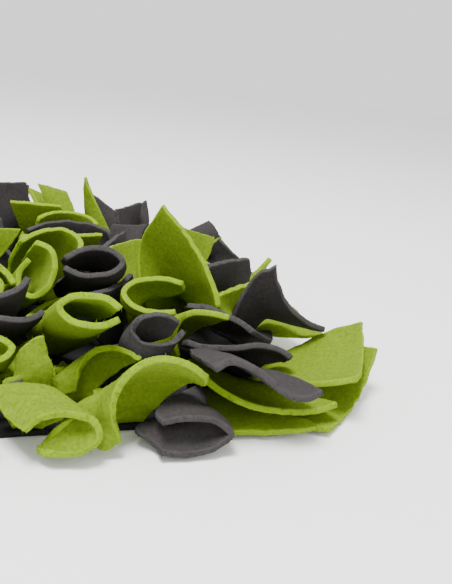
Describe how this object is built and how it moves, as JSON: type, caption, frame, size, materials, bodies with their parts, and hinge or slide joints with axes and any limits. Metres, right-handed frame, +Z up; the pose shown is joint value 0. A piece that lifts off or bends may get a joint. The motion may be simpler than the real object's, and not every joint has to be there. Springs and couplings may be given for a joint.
{
  "type": "snuffle mat",
  "caption": "Felt snuffle mat: green and dark grey felt strips sewn by their middles onto a square felt base, each standing up as two curled, waved or rolled petals that hide treats.",
  "frame": {"origin": "middle of the underside of the square felt base, on the surface the mat lies on", "axes": "+Z up out of the pile, +X to the right and +Y to the back of the mat as it is pictured, both along the sides of the square base"},
  "size_m": [0.3292, 0.3159, 0.0817],
  "materials": {
    "felt_green": "thick lime-green polyester felt, matte and slightly fuzzy, cut edges left raw",
    "felt_grey": "thick charcoal-grey polyester felt, matte and slightly fuzzy, cut edges left raw",
    "felt_base": "black felt sheet, matte"
  },
  "bodies": {
    "root": {"base": "felt_base", "strip_01": "felt_grey", "strip_02": "felt_green", "strip_03": "felt_green", "strip_04": "felt_green", "strip_05": "felt_grey", "strip_06": "felt_green", "strip_07": "felt_green", "strip_08": "felt_grey", "strip_09": "felt_grey", "strip_10": "felt_grey", "strip_11": "felt_grey", "strip_12": "felt_green", "strip_13": "felt_grey", "strip_14": "felt_grey", "strip_15": "felt_grey", "strip_16": "felt_green", "strip_17": "felt_green", "strip_18": "felt_grey", "strip_19": "felt_green", "strip_20": "felt_green", "strip_21": "felt_green", "strip_22": "felt_green", "strip_23": "felt_green", "strip_24": "felt_green", "strip_25": "felt_grey", "strip_26": "felt_green", "strip_27": "felt_green", "strip_28": "felt_grey", "strip_29": "felt_grey", "strip_30": "felt_grey", "strip_31": "felt_green", "strip_32": "felt_grey", "strip_33": "felt_green", "strip_34": "felt_grey", "strip_35": "felt_green", "strip_36": "felt_green", "strip_37": "felt_grey", "strip_38": "felt_green", "strip_39": "felt_green", "strip_40": "felt_grey", "strip_41": "felt_green", "strip_42": "felt_grey", "strip_43": "felt_grey", "strip_44": "felt_green", "strip_45": "felt_grey", "strip_46": "felt_green", "strip_47": "felt_grey", "strip_48": "felt_green", "strip_49": "felt_green", "strip_50": "felt_grey", "strip_51": "felt_green", "strip_52": "felt_green", "strip_53": "felt_green"}
  },
  "joints": []
}
